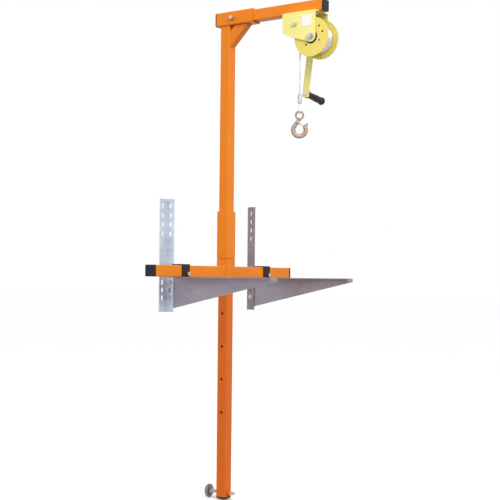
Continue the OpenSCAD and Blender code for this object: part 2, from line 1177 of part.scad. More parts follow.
left_rail();
right_rail();
left_arm();
right_arm();
arm_bolts();
arm_nuts();
arm_washers();
crossbar_left();
crossbar_right();
mast_socket();
left_bar_cap();
right_bar_cap();
left_stirrup();
left_clamp_bolt();
right_stirrup();
right_clamp_bolt();
lower_mast();
mast_sleeve();
foot_cap();
pad_nut();
pad_rod();
pad_disc();
pad_hub();
upper_mast();
boom_sleeve();
brace();
sleeve_cap();
boom_lock_nut();
boom_lock_screw();
boom_tube();
boom_cap();
winch_frame();
winch_bolts();
blank_label();
drum_axle();
axle_nuts();
pawl_pivot();
pawl_spring();
drum_core();
near_flange();
far_flange();
drum_gear();
rope_windings();
rope_anchor();
pinion_shaft();
pinion();
ratchet_wheel();
brake_discs();
brake_hub();
crank_arm();
crank_nut();
grip_pin();
crank_grip();
pawl();
hanging_rope();
rope_ferrule();
rope_loop();
hook();
latch();
latch_pin();
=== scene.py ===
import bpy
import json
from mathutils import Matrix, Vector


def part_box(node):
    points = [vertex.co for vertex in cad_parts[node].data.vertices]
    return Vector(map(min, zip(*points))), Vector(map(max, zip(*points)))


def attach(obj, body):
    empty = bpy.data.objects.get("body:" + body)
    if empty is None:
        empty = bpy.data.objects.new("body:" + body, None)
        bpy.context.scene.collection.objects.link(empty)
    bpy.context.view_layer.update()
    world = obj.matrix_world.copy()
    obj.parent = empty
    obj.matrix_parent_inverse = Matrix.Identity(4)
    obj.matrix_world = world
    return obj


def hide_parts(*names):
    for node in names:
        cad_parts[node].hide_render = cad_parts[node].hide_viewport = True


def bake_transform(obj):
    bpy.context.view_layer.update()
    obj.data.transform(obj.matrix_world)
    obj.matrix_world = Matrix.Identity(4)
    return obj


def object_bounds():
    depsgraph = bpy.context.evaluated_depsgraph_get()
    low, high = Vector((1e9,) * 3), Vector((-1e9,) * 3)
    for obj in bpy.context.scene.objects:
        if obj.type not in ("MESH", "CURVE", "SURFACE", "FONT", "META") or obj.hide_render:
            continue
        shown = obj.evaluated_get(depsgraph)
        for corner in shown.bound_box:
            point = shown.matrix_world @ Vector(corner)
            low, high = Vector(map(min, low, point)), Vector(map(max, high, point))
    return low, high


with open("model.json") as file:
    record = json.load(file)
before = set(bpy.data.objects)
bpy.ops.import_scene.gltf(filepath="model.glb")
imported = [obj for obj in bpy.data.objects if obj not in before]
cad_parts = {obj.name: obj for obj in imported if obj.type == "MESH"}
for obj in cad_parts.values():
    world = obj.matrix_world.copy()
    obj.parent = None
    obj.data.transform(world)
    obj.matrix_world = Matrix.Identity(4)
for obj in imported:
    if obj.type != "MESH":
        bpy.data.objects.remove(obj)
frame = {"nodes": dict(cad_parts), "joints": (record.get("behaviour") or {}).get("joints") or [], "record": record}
nodes = frame["nodes"]
cad_box = [[float(v) for v in corner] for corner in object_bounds()]
print(len(nodes), "nodes in the box", cad_box)

# %% [markdown]
# ## Camera
# The camera stands off the hoist's right side at mast height and looks up very slightly, with a
# long lens so that the upright masts stay nearly parallel. An aimed constraint could do this,
# but three turns in order (tilt, turn, roll) are plain numbers that never change by surprise.
# %% Camera
import bpy
import math
from mathutils import Matrix, Vector

scene = bpy.context.scene
camera = bpy.data.objects.new("camera", bpy.data.cameras.new("camera"))
scene.collection.objects.link(camera)
camera.data.sensor_width = 36
camera.data.lens = 80.64
turn = Matrix.Rotation(math.radians(35.4), 4, "Z")
tilt = Matrix.Rotation(math.radians(91.48), 4, "X")
roll = Matrix.Rotation(math.radians(0.55), 4, "Z")
camera.matrix_world = Matrix.Translation((2.532, -3.2985, -0.005)) @ turn @ tilt @ roll
scene.camera = camera
print("camera looks along", [round(v, 3) for v in camera.matrix_world.to_3x3() @ Vector((0, 0, -1))])

# %% [markdown]
# ## Studio
# A workshop part is shown on a pale floor in soft light from all round. A bright sky does most
# of the work, one large lamp above the boom's side shapes the tubes, and a weak one fills the
# crank's side. Small lamps would give hard shadows, so both are over a metre across. Below the
# horizon the sky is dimmer, and the floor throws no soft light back, so that undersides and the
# gaps between tubes stay readable.
# %% Floor, world and lamps
scene.view_settings.view_transform = "Standard"
FLOOR_Z = cad_box[0][2] - 0.0005
SKY = 1.0
BELOW = 0.3
world = bpy.data.worlds.new("studio")
world.use_nodes = True
sky = world.node_tree
direction = sky.nodes.new("ShaderNodeTexCoord")
upness = sky.nodes.new("ShaderNodeSeparateXYZ")
fade = sky.nodes.new("ShaderNodeMapRange")
fade.inputs["From Min"].default_value = -0.4
fade.inputs["From Max"].default_value = -0.02
fade.inputs["To Min"].default_value = BELOW
fade.inputs["To Max"].default_value = SKY
sky.links.new(direction.outputs["Generated"], upness.inputs[0])
sky.links.new(upness.outputs["Z"], fade.inputs["Value"])
sky.links.new(fade.outputs[0], sky.nodes["Background"].inputs["Strength"])
sky.nodes["Background"].inputs["Color"].default_value = (1, 1, 1, 1)
scene.world = world


def lamp(name, place, target, watts, size):
    data = bpy.data.lights.new(name, "AREA")
    data.energy = watts
    data.size = size
    light = bpy.data.objects.new(name, data)
    scene.collection.objects.link(light)
    aim = (Vector(target) - Vector(place)).to_track_quat("-Z", "Y").to_matrix().to_4x4()
    light.matrix_world = Matrix.Translation(place) @ aim
    return light


CENTRE = (0.2, 0.0, 0.3)
lamp("key", (2.2, -1.1, 1.9), CENTRE, 46, 1.4)
lamp("fill", (-0.6, -3.2, 1.8), CENTRE, 14, 2.2)


def add_object(name, mesh):
    piece = bpy.data.objects.new(name, mesh)
    scene.collection.objects.link(piece)
    return piece


def flat_square(name, half, z):
    mesh = bpy.data.meshes.new(name)
    corners = [(-half, -half, z), (half, -half, z), (half, half, z), (-half, half, z)]
    mesh.from_pydata(corners, [], [(0, 1, 2, 3)])
    return add_object(name, mesh)


floor = flat_square("floor", 40.0, FLOOR_Z)
floor.visible_diffuse = False

# %% [markdown]
# ## A bench for node trees
# Every finish and every Geometry Nodes tree below is built from the same few moves. Writing out
# each node, setting and link by hand is long and hard to check, so one method adds any node
# (kind, settings, inputs) and a small wrapper lets sums of node values read like arithmetic.
# %% Wires and the bench
class Wire:
    """One value in a node tree. Sums of wires add the maths nodes that work them out."""

    def __init__(self, bench, socket):
        self.bench = bench
        self.socket = socket

    def of(self, output):
        return Wire(self.bench, self.socket.node.outputs[output])

    def sum(self, operation, first, second=0.0):
        return self.bench.add("ShaderNodeMath", {"operation": operation}, {0: first, 1: second})

    def __add__(self, other):
        return self.sum("ADD", self, other)

    def __radd__(self, other):
        return self.sum("ADD", other, self)

    def __sub__(self, other):
        return self.sum("SUBTRACT", self, other)

    def __rsub__(self, other):
        return self.sum("SUBTRACT", other, self)

    def __mul__(self, other):
        return self.sum("MULTIPLY", self, other)

    def __rmul__(self, other):
        return self.sum("MULTIPLY", other, self)

    def __truediv__(self, other):
        return self.sum("DIVIDE", self, other)

    def __rtruediv__(self, other):
        return self.sum("DIVIDE", other, self)

    def ramp(self, low, high):
        """0 below low, 1 above high and smooth between them."""
        inputs = {"Value": self, "From Min": low, "From Max": high}
        return self.bench.add("ShaderNodeMapRange", {"interpolation_type": "SMOOTHSTEP"}, inputs)


class Bench:
    """Adds nodes to one tree: settings first, then inputs, which are numbers or wires."""

    def __init__(self, tree):
        self.tree = tree

    def feed(self, socket, value):
        if isinstance(value, Wire):
            self.tree.links.new(value.socket, socket)
        else:
            socket.default_value = value

    def add(self, kind, settings=None, inputs=None):
        node = self.tree.nodes.new(kind)
        for key, value in (settings or {}).items():
            setattr(node, key, value)
        for key, value in (inputs or {}).items():
            self.feed(node.inputs[key], value)
        return Wire(self, node.outputs[0]) if node.outputs else node


print("bench ready")

# %% [markdown]
# ## A finish
# A finish is a material: one shader whose colour, roughness and bump change over the surface.
# Worn edges could be painted by hand or found from mesh sharpness, but the frame's meshes are
# loose triangles with no shared edges. A Bevel node looks for edges in the solid shape itself:
# its rounded normal differs from the face's own normal only near an edge, which both softens
# the highlight there and gives the mask for wear.
# %% The finish class
def tint(red, green, blue):
    """A screen colour from 0 to 255 as the linear colour that a shader mixes with."""
    linear = []
    for level in (red / 255, green / 255, blue / 255):
        linear.append(level / 12.92 if level <= 0.04045 else ((level + 0.055) / 1.055) ** 2.4)
    return (*linear, 1.0)


class Finish(Bench):
    """A material whose pattern sits in the object's own metres."""

    def __init__(self, name, edge):
        self.material = bpy.data.materials.new(name)
        self.material.use_nodes = True
        super().__init__(self.material.node_tree)
        self.shader = self.tree.nodes["Principled BSDF"]
        self.place = self.add("ShaderNodeTexCoord").of("Object")
        self.round = self.add("ShaderNodeBevel", {"samples": 6}, {"Radius": edge})
        face = self.add("ShaderNodeNewGeometry").of("Normal")
        pair = {0: self.round, 1: face}
        same = self.add("ShaderNodeVectorMath", {"operation": "DOT_PRODUCT"}, pair).of("Value")
        self.edge = (1 - same).ramp(0.01, 0.16)

    def noise(self, scale, detail=2.0, rough=0.5, place=None):
        inputs = {"Vector": place or self.place, "Scale": scale, "Detail": detail, "Roughness": rough}
        return self.add("ShaderNodeTexNoise", None, inputs)

    def stretched(self, x, y, z):
        inputs = {"Vector": self.place, "Scale": (x, y, z)}
        return self.add("ShaderNodeMapping", None, inputs)

    def mix(self, amount, low, high):
        return self.add("ShaderNodeMix", {"data_type": "RGBA"}, {0: amount, 6: low, 7: high}).of(2)

    def set(self, **values):
        """Feeds shader sockets; an underscore stands for the space in a socket's name."""
        for key, value in values.items():
            self.feed(self.shader.inputs[key.replace("_", " ")], value)

    def bump(self, height, distance, strength=1.0):
        inputs = {"Strength": strength, "Distance": distance, "Height": height, "Normal": self.round}
        self.set(Normal=self.add("ShaderNodeBump", None, inputs))


print("orange as the shader sees it", [round(v, 3) for v in tint(232, 134, 46)])

# %% [markdown]
# ## Painted steel
# The tubes are powder coated: the melted powder leaves a faint orange-peel skin, a slightly
# thinner and paler film on sharp edges, and a few dull rub marks. Noises of very different size
# give tone, rubs and peel; one noise alone looks like fog.
# %% Powder coat
def powder_coat(name, colour, deep, thin, gloss=0.34):
    coat = Finish(name, 0.0011)
    broad = coat.noise(5.0, 3.0)
    fine = coat.noise(240.0, 2.0)
    rubs = coat.noise(60.0, 5.0, 0.7, coat.stretched(0.35, 1.0, 0.25)).ramp(0.62, 0.74)
    base = coat.mix((broad * 0.75 + fine * 0.25).ramp(0.3, 0.7), deep, colour)
    base = coat.mix(coat.edge * 0.55, base, thin)
    base = coat.mix(rubs * 0.22, base, thin)
    coat.set(Base_Color=base, Roughness=gloss + broad * 0.1 + rubs * 0.16 + coat.edge * 0.08)
    coat.set(Specular_IOR_Level=0.22, Coat_Weight=0.04, Coat_Roughness=0.25)
    coat.bump(coat.noise(620.0, 2.0) + fine * 0.6, 0.00012)
    return coat.material


orange = powder_coat("orange_powder", tint(229, 128, 6), tint(221, 118, 3), tint(238, 150, 44))
# The lower mast and its pad nut take a darker copy of this orange: painted shade, darker down the mast.
shaded_orange = powder_coat("mast_powder", tint(222, 108, 4), tint(211, 95, 2), tint(230, 130, 30))
yellow = powder_coat("winch_yellow", tint(229, 209, 106), tint(222, 200, 92), tint(240, 229, 150), 0.3)
# The winch plate and crank arm take a paler copy of the winch yellow: painted light, brightening the plate and
# lifting the crank arm out of the drum's shade.
plate_yellow = powder_coat("plate_yellow", tint(236, 226, 140), tint(230, 217, 126), tint(246, 240, 182), 0.3)
satin_black = powder_coat("stirrup_black", tint(40, 22, 16), tint(32, 18, 13), tint(78, 62, 56), 0.42)
for paint in (orange, shaded_orange, yellow, plate_yellow, satin_black):
    print("painted finish", paint.name, len(paint.node_tree.nodes), "nodes")

# %% [markdown]
# ## Zinc and bare steel
# Dipped zinc freezes into spangles: flat crystals a few millimetres across, each a little
# lighter or darker than the next. Voronoi cells give that pattern, kept faint here. Plated zinc
# on bolts and wire has no spangle, only a fine grain, so it gets its own simpler recipe.
# %% Zinc finishes
def dipped_zinc(name, dull, bright):
    """Spangle fades to a soft cloudy tone, with long streaks where the zinc ran off."""
    zinc = Finish(name, 0.0009)
    cells = zinc.add("ShaderNodeTexVoronoi", None, {"Vector": zinc.place, "Scale": 165.0}).of("Color")
    tone = zinc.add("ShaderNodeSeparateColor", None, {"Color": cells})
    cloud = zinc.noise(9.0, 4.0, 0.6)
    streak = zinc.noise(26.0, 3.0, 0.6, zinc.stretched(0.25, 1.0, 1.0))
    stain = zinc.noise(30.0, 5.0, 0.7, zinc.stretched(1.0, 1.0, 0.3)).ramp(0.58, 0.8)
    base = zinc.mix((tone * 0.16 + cloud * 0.5 + streak * 0.4).ramp(0.3, 0.8), dull, bright)
    base = zinc.mix(zinc.edge * 0.35, base, tint(222, 224, 228))
    zinc.set(Base_Color=base, Metallic=0.6 - stain * 0.25)
    zinc.set(Roughness=0.4 + tone * 0.06 + stain * 0.14)
    zinc.bump(tone * 0.15 + zinc.noise(380.0), 0.00005)
    return zinc.material


def plated(name, dull, bright, rough, scale=(1.0, 1.0, 1.0)):
    plate = Finish(name, 0.0006)
    grain = plate.noise(900.0, 3.0, 0.6, plate.stretched(*scale))
    cloud = plate.noise(45.0, 3.0)
    base = plate.mix((grain * 0.4 + cloud * 0.6).ramp(0.3, 0.7), dull, bright)
    base = plate.mix(plate.edge * 0.5, base, tint(240, 240, 240))
    plate.set(Base_Color=base, Metallic=0.88 - cloud * 0.1, Roughness=rough + grain * 0.14)
    plate.bump(grain, 0.00004)
    return plate.material


rail_zinc = dipped_zinc("rail_zinc", tint(188, 195, 208), tint(218, 225, 234))
# The right rail takes a darker copy of the rail zinc: painted shade.
old_zinc = dipped_zinc("old_zinc", tint(126, 112, 118), tint(150, 136, 142))
arm_zinc = dipped_zinc("arm_zinc", tint(140, 132, 144), tint(162, 155, 166))
bright_zinc = plated("bright_zinc", tint(166, 167, 171), tint(204, 205, 208), 0.28)
dark_steel = plated("dark_steel", tint(106, 104, 105), tint(148, 146, 147), 0.4)
# Near-black wire for the buried rope layers: painted shade seen between the turns.
oiled_wire = plated("oiled_wire", tint(30, 28, 29), tint(52, 48, 46), 0.5)
wire_zinc = plated("rope_wire", tint(184, 185, 188), tint(218, 218, 219), 0.4, (1.0, 1.0, 0.3))
for metal in (rail_zinc, old_zinc, arm_zinc, bright_zinc, dark_steel, oiled_wire, wire_zinc):
    print("metal finish", metal.name, len(metal.node_tree.nodes), "nodes")

# %% [markdown]
# ## Forged hook, plastic, rubber, lining and label
# The hook is drop forged and copper coloured: scaly and matt, rubbed bright on its ridges.
# Caps are moulded plastic with a fine spark texture. The grip is softer and duller. The label
# is a blank card with a printed border line only, because real lettering is left out.
# %% Other finishes
def forged(name):
    skin = Finish(name, 0.0016)
    scale = skin.noise(150.0, 5.0, 0.65)
    cloud = skin.noise(28.0, 3.0)
    base = skin.mix((scale * 0.5 + cloud * 0.5).ramp(0.32, 0.68), tint(132, 110, 96), tint(176, 154, 138))
    base = skin.mix(skin.edge * 0.45, base, tint(214, 200, 186))
    skin.set(Base_Color=base, Metallic=0.62 - scale * 0.2, Roughness=0.34 + scale * 0.25)
    skin.bump(scale + cloud, 0.0003)
    return skin.material


def moulded(name, dark, light, rough, grain_scale, depth):
    skin = Finish(name, 0.001)
    grain = skin.noise(grain_scale, 2.0)
    cloud = skin.noise(20.0, 3.0)
    base = skin.mix((cloud * 0.6 + grain * 0.4).ramp(0.3, 0.7), dark, light)
    base = skin.mix(skin.edge * 0.3, base, tint(96, 92, 96))
    skin.set(Base_Color=base, Roughness=rough + grain * 0.16 + cloud * 0.06, Specular_IOR_Level=0.25)
    skin.bump(grain, depth)
    return skin.material


cap_plastic = moulded("cap_plastic", tint(22, 18, 24), tint(34, 29, 38), 0.38, 1100.0, 0.00005)
grip_rubber = moulded("grip_rubber", tint(36, 26, 26), tint(52, 40, 39), 0.52, 700.0, 0.0001)
lining = moulded("brake_lining", tint(92, 66, 48), tint(128, 96, 70), 0.72, 420.0, 0.0002)
forged_copper = forged("forged_copper")
print("moulded:", cap_plastic.name, grip_rubber.name, lining.name, "forged:", forged_copper.name)


# %% Blank label and floor
def label_card(low, high):
    card = Finish("label_card", 0.0003)
    split = card.add("ShaderNodeSeparateXYZ", None, {"Vector": card.place})
    gaps = []
    for axis, output in ((0, "X"), (2, "Z")):
        middle = (low[axis] + high[axis]) / 2
        half = (high[axis] - low[axis]) / 2
        off = split.sum("ABSOLUTE", split.of(output) - middle)
        gaps.append(half - off)
    rim = split.sum("MINIMUM", gaps[0], gaps[1])
    line = rim.ramp(0.0022, 0.0024) * (1 - rim.ramp(0.003, 0.0032))
    grain = card.noise(500.0, 3.0)
    paper = card.mix(grain.ramp(0.3, 0.7), tint(230, 225, 212), tint(240, 236, 225))
    card.set(Base_Color=card.mix(line * 0.6, paper, tint(120, 112, 108)), Roughness=0.4 + grain * 0.15)
    card.bump(grain, 0.00003)
    return card.material


label = label_card(*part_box("blank_label"))
pale = Finish("pale_floor", 0.001)
pale_cloud = pale.noise(3.0, 3.0)
pale.set(Base_Color=pale.mix(pale_cloud, tint(253, 253, 253), tint(255, 255, 255)))
pale.set(Roughness=0.7 + pale_cloud * 0.1)
floor.data.materials.append(pale.material)
print("label and floor done")

# %% [markdown]
# ## Handing out the finishes
# Each CAD node keeps its shape and only its material slot changes. The record already groups
# the nodes by finish, so one table from slot to material dresses nearly all of them, and the
# few exceptions (arms, the right rail, the lower mast, the winch plates and crank arm) are named after it.
# The right rail's darker zinc and the lower mast's darker orange are painted shade; the paler
# yellow of the winch plates and crank arm is painted light.
# %% Dress the CAD nodes
FINISH_OF_SLOT = {
    "orange_paint": orange,
    "yellow_paint": yellow,
    "black_plastic": cap_plastic,
    "black_rubber": grip_rubber,
    "black_paint": satin_black,
    "galvanised": rail_zinc,
    "zinc": bright_zinc,
    "dark_steel": dark_steel,
    "rope_wire": wire_zinc,
    "bronze": forged_copper,
    "label": label,
    "friction": lining,
}
FINISH_OF_NODE = {
    "left_arm": arm_zinc,
    "right_arm": arm_zinc,
    # The right rail's darker zinc is painted shade.
    "right_rail": old_zinc,
    # The lower mast's darker orange is painted shade.
    "lower_mast": shaded_orange,
    "pad_nut": shaded_orange,
    # The paler yellow on the winch plate and crank arm is painted light.
    "winch_frame": plate_yellow,
    "crank_arm": plate_yellow,
}
slot_of = {part["node"]: part["material_slot"] for part in frame["record"]["subparts"]}
for name, node in nodes.items():
    finish = FINISH_OF_NODE.get(name, FINISH_OF_SLOT[slot_of[name]])
    if not node.material_slots:
        node.data.materials.append(finish)
    for place in node.material_slots:
        place.material = finish
print("dressed", len(nodes), "nodes")

# %% [markdown]
# ## Paths and settled pieces
# Rope, welds, threads and the spring all follow a line. A line is given as points in metres and
# becomes a curve; a Geometry Nodes tree runs along it; then the result is settled into a plain
# mesh, because the model's bodies can only carry plain meshes.
# %% Curve, tree and settle helpers
def path_object(name, lines):
    curve = bpy.data.curves.new(name, "CURVE")
    curve.dimensions = "3D"
    for points in lines:
        spline = curve.splines.new("POLY")
        spline.points.add(len(points) - 1)
        for spot, point in zip(spline.points, points):
            spot.co = (*point, 1.0)
    return add_object(name, curve)


class Tree(Bench):
    """A Geometry Nodes tree with named inputs."""

    def __init__(self, name, **sizes):
        super().__init__(bpy.data.node_groups.new(name, "GeometryNodeTree"))
        face = self.tree.interface
        face.new_socket("Geometry", in_out="INPUT", socket_type="NodeSocketGeometry")
        face.new_socket("Geometry", in_out="OUTPUT", socket_type="NodeSocketGeometry")
        for label_text, value in sizes.items():
            kind = "NodeSocketVector" if isinstance(value, tuple) else "NodeSocketFloat"
            kind = "NodeSocketInt" if isinstance(value, int) else kind
            face.new_socket(label_text, in_out="INPUT", socket_type=kind).default_value = value
        face.new_socket("Finish", in_out="INPUT", socket_type="NodeSocketMaterial")
        self.start = self.add("NodeGroupInput")

    def end(self, shape):
        whole = self.add("GeometryNodeRealizeInstances", None, {"Geometry": shape})
        smooth = self.add("GeometryNodeSetShadeSmooth", None, {"Geometry": whole})
        paint = {"Geometry": smooth, "Material": self.start.of("Finish")}
        painted = self.add("GeometryNodeSetMaterial", None, paint)
        self.add("NodeGroupOutput", None, {"Geometry": painted})


def run_tree(piece, bench, finish, **sizes):
    """Runs a tree on a piece and settles the result into a plain mesh of the same name."""
    maker = piece.modifiers.new("maker", "NODES")
    maker.node_group = bench.tree
    for item in bench.tree.interface.items_tree:
        if item.in_out == "INPUT" and item.name in sizes:
            maker[item.identifier] = sizes[item.name]
        if item.in_out == "INPUT" and item.name == "Finish":
            maker[item.identifier] = finish
    return settle(piece)


def settle(piece):
    name = piece.name
    depsgraph = bpy.context.evaluated_depsgraph_get()
    mesh = bpy.data.meshes.new_from_object(piece.evaluated_get(depsgraph))
    bpy.data.objects.remove(piece)
    solid = add_object(name, mesh)
    print(name, len(mesh.polygons), "faces")
    return solid


print("helpers ready")

# %% [markdown]
# ## Stranded rope
# Wire rope is six strands laid in a long screw around a core. Modelling every strand is heavy,
# and a smooth tube looks like plastic hose. A six-lobed outline that turns steadily while it is
# pulled along the path shows the same grooves for far fewer faces. The tree sets the turn from
# the length along the line, so straight and wound rope get the same lay.
# %% The rope tree
ROPE_D = 0.005
LAY = 0.034
rope_tree = Tree("stranded_rope", Diameter=ROPE_D, Lay=LAY, Step=0.002, Strands=6)
rope_line = rope_tree.add(
    "GeometryNodeResampleCurve",
    {"mode": "LENGTH"},
    {"Curve": rope_tree.start.of("Geometry"), "Length": rope_tree.start.of("Step")},
)
along = rope_tree.add("GeometryNodeSplineParameter").of("Length")
twisted = rope_tree.add(
    "GeometryNodeSetCurveTilt",
    None,
    {"Curve": rope_line, "Tilt": along / rope_tree.start.of("Lay") * (2 * math.pi)},
)
lobes = rope_tree.add(
    "GeometryNodeCurveStar",
    None,
    {
        "Points": rope_tree.start.of("Strands"),
        "Inner Radius": rope_tree.start.of("Diameter") * 0.4,
        "Outer Radius": rope_tree.start.of("Diameter") * 0.5,
    },
)
rope_skin = rope_tree.add(
    "GeometryNodeCurveToMesh",
    None,
    {"Curve": twisted, "Profile Curve": lobes, "Fill Caps": True},
)
rope_tree.end(rope_skin)
print("rope tree has", len(rope_tree.tree.nodes), "nodes")

# %% [markdown]
# ## Hanging rope
# The rope leaves the drum at the height of its axle and drops straight into the crimped
# ferrule. It is a real wire rope: taut, 5 mm thick and as long as the drop. The rope tree makes
# it and it stays fixed where it hangs, carried by no body.
# %% Hanging rope
def corners_of(node):
    low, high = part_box(node)
    return Vector(low), Vector(high)


drum_low, drum_high = corners_of("drum_axle")
DRUM_X = (drum_low.x + drum_high.x) / 2
DRUM_Z = (drum_low.z + drum_high.z) / 2
rope_low, rope_high = corners_of("hanging_rope")
ROPE_X = (rope_low.x + rope_high.x) / 2
ROPE_Y = (rope_low.y + rope_high.y) / 2
DROP_POINTS = 24


def between(start, end, count):
    return [start.lerp(end, step / (count - 1)) for step in range(count)]


drop_top = Vector((ROPE_X, ROPE_Y, rope_high.z))
drop_end = Vector((ROPE_X, ROPE_Y, rope_low.z))
drop = between(drop_top, drop_end, DROP_POINTS)
hanging = run_tree(path_object("hanging_wire", [drop]), rope_tree, wire_zinc)
print("drop of", round((drop_top - drop_end).length, 4), "m")

# %% [markdown]
# ## Wound rope
# On the drum the rope lies in turns side by side, each turn stepping across by one diameter.
# Its shape follows a rule, so the same tree runs on a screw line that starts and ends with a
# flat half turn. A last part turn climbs on top and meets the hanging rope. A plain sleeve
# underneath stands for the buried layers, because no one sees them; its near-black wire is
# painted shade, so the gaps between the turns look dark.
# %% Wound rope
wound_low, wound_high = corners_of("rope_windings")
TURNS = 12
STEPS_PER_TURN = 72
TOP_RADIUS = (wound_high.x - wound_low.x) / 2 - ROPE_D / 2
FREE_RADIUS = DRUM_X - ROPE_X
LAST_TURN = math.radians(300)
SINK_FROM = 0.75
SINK_DEPTH = ROPE_D * 0.8
LAST_SHIFT = 0.002


def on_drum(radius, angle, y):
    return Vector((DRUM_X + radius * math.cos(angle), y, DRUM_Z + radius * math.sin(angle)))


top_layer = []
for step in range(TURNS * STEPS_PER_TURN + 1):
    turns = step / STEPS_PER_TURN
    across = min(max(turns - 0.5, 0.0), TURNS - 1.0)
    y = wound_low.y + ROPE_D / 2 + across * ROPE_D
    top_layer.append(on_drum(TOP_RADIUS, -2 * math.pi * turns, y))
last_turn = []
for step in range(STEPS_PER_TURN):
    share = step / (STEPS_PER_TURN - 1)
    sink = max(share - SINK_FROM, 0.0) / (1 - SINK_FROM)
    radius = FREE_RADIUS - sink * sink * SINK_DEPTH
    last_turn.append(on_drum(radius, math.pi - share * LAST_TURN, ROPE_Y + share * LAST_SHIFT))
windings = run_tree(path_object("wound_wire", [top_layer, last_turn]), rope_tree, wire_zinc, Step=0.0026)
print("wound length", round(2 * math.pi * TOP_RADIUS * TURNS, 2), "m in the top layer")


# %% A turned shell
import bmesh


def turned(name, outline, sides=96):
    """A closed shell of revolution about Z from (radius, height) pairs."""
    mesh = bpy.data.meshes.new(name)
    points = []
    for radius, height in outline:
        for side in range(sides):
            angle = 2 * math.pi * side / sides
            points.append((radius * math.cos(angle), radius * math.sin(angle), height))
    faces = []
    rings = len(outline)
    for ring in range(rings):
        for side in range(sides):
            beside = (side + 1) % sides
            above = (ring + 1) % rings
            low_row, high_row = ring * sides, above * sides
            faces.append((low_row + side, low_row + beside, high_row + beside, high_row + side))
    mesh.from_pydata(points, [], faces)
    mesh.validate()
    return mesh


def outward(mesh, place=Matrix()):
    """Puts a closed mesh in its place and turns all its faces outward."""
    shape = bmesh.new()
    shape.from_mesh(mesh)
    bmesh.ops.recalc_face_normals(shape, faces=shape.faces)
    bmesh.ops.transform(shape, matrix=place, verts=shape.verts)
    for face in shape.faces:
        face.smooth = True
    shape.to_mesh(mesh)
    shape.free()
    return mesh


CORE_GAP = 0.0002
core_low, core_high = corners_of("drum_core")
buried_in = (core_high.x - core_low.x) / 2 + CORE_GAP
buried_out = TOP_RADIUS - ROPE_D * 0.3
along_y = Matrix.Translation((DRUM_X, 0, DRUM_Z)) @ Matrix.Rotation(math.radians(-90), 4, "X")
wound_ends = [(buried_in, wound_low.y), (buried_out, wound_low.y)]
wound_ends += [(buried_out, wound_high.y), (buried_in, wound_high.y)]
buried = add_object("buried_rope", outward(turned("buried_rope", wound_ends), along_y))
# The buried sleeve is near black: painted shade between the turns.
buried.data.materials.append(oiled_wire)
print("buried layers", round(buried_in, 4), "to", round(buried_out, 4), "m")

# %% [markdown]
# ## Drum bush
# A black plastic bush keeps the near flange off the winch's side plate. It is a plain washer, so
# it is turned from a short outline with small chamfers; only its rim shows past the plate's
# round corner, and that black rim also stands in for the corner's shadow as painted shade.
# %% Drum bush
BUSH_R = 0.024
BUSH_BORE = 0.0104
BUSH_T = 0.0018
BUSH_GAP = 0.0003
CHAMFER = 0.0004
bush_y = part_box("near_flange")[0][1] - BUSH_GAP - BUSH_T
bush_line = [(BUSH_BORE, bush_y), (BUSH_R - CHAMFER, bush_y), (BUSH_R, bush_y + CHAMFER)]
bush_line += [(BUSH_R, bush_y + BUSH_T - CHAMFER), (BUSH_R - CHAMFER, bush_y + BUSH_T)]
bush_line += [(BUSH_BORE, bush_y + BUSH_T)]
drum_bush_and_shade = add_object("drum_bush_and_shade", outward(turned("drum_bush_and_shade", bush_line), along_y))
# Black bush rim past the plate's corner: a real bush that also stands in for the corner's shadow, painted shade.
drum_bush_and_shade.data.materials.append(cap_plastic)
print("bush from", round(bush_y, 4), "to", round(bush_y + BUSH_T, 4), "m in Y")

# %% [markdown]
# ## The rope's eye
# Below the ferrule the rope turns back on itself through the hook's eye. The line runs down
# one leaning leg, round the bend and up the other, in the plane across the hook.
# %% The rope's eye
loop_low = corners_of("rope_loop")[0]
HOOK_TURN = math.radians(35.5)
LOOP_R = 0.0075
LEG_TOP = 0.003
LEG_POINTS = 12
BEND_STEPS = 24
loop_z = loop_low.z + ROPE_D / 2 + LOOP_R
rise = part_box("rope_ferrule")[0][2] - loop_z


def beside_rope(across, up):
    return Vector((ROPE_X - across * math.sin(HOOK_TURN), ROPE_Y + across * math.cos(HOOK_TURN), up))


eye_line = between(beside_rope(-LEG_TOP, loop_z + rise), beside_rope(-LOOP_R, loop_z), LEG_POINTS)
for step in range(1, BEND_STEPS):
    angle = math.pi + math.pi * step / BEND_STEPS
    eye_line.append(beside_rope(LOOP_R * math.cos(angle), loop_z + LOOP_R * math.sin(angle)))
eye_line += between(beside_rope(LOOP_R, loop_z), beside_rope(LEG_TOP, loop_z + rise), LEG_POINTS)
rope_eye = run_tree(path_object("rope_eye", [eye_line]), rope_tree, wire_zinc, Step=0.0015)
print("eye line has", len(eye_line), "points")

# %% [markdown]
# ## Threads and the pawl's spring
# A thread is a ridge that climbs a rod at a steady pitch, and a coil spring is the same line
# with a bigger step. One tree makes both: a small round outline pulled along a spiral, around
# a core rod.
# %% The spiral tree
spiral_tree = Tree(
    "spiral",
    Radius=0.005,
    Wire=0.0005,
    Pitch=0.00175,
    Turns=20.0,
    Core=0.004,
    Spot=(0, 0, 0),
    Turn=(0, 0, 0),
)
from_tree = spiral_tree.start.of
height = from_tree("Pitch") * from_tree("Turns")
spiral = spiral_tree.add(
    "GeometryNodeCurveSpiral",
    None,
    {
        "Resolution": 28,
        "Rotations": from_tree("Turns"),
        "Start Radius": from_tree("Radius"),
        "End Radius": from_tree("Radius"),
        "Height": height,
    },
)
outline = spiral_tree.add(
    "GeometryNodeCurvePrimitiveCircle", None, {"Resolution": 6, "Radius": from_tree("Wire")}
)
ridge = spiral_tree.add(
    "GeometryNodeCurveToMesh", None, {"Curve": spiral, "Profile Curve": outline, "Fill Caps": True}
)
rod = spiral_tree.add(
    "GeometryNodeMeshCylinder", None, {"Vertices": 40, "Radius": from_tree("Core"), "Depth": height}
)
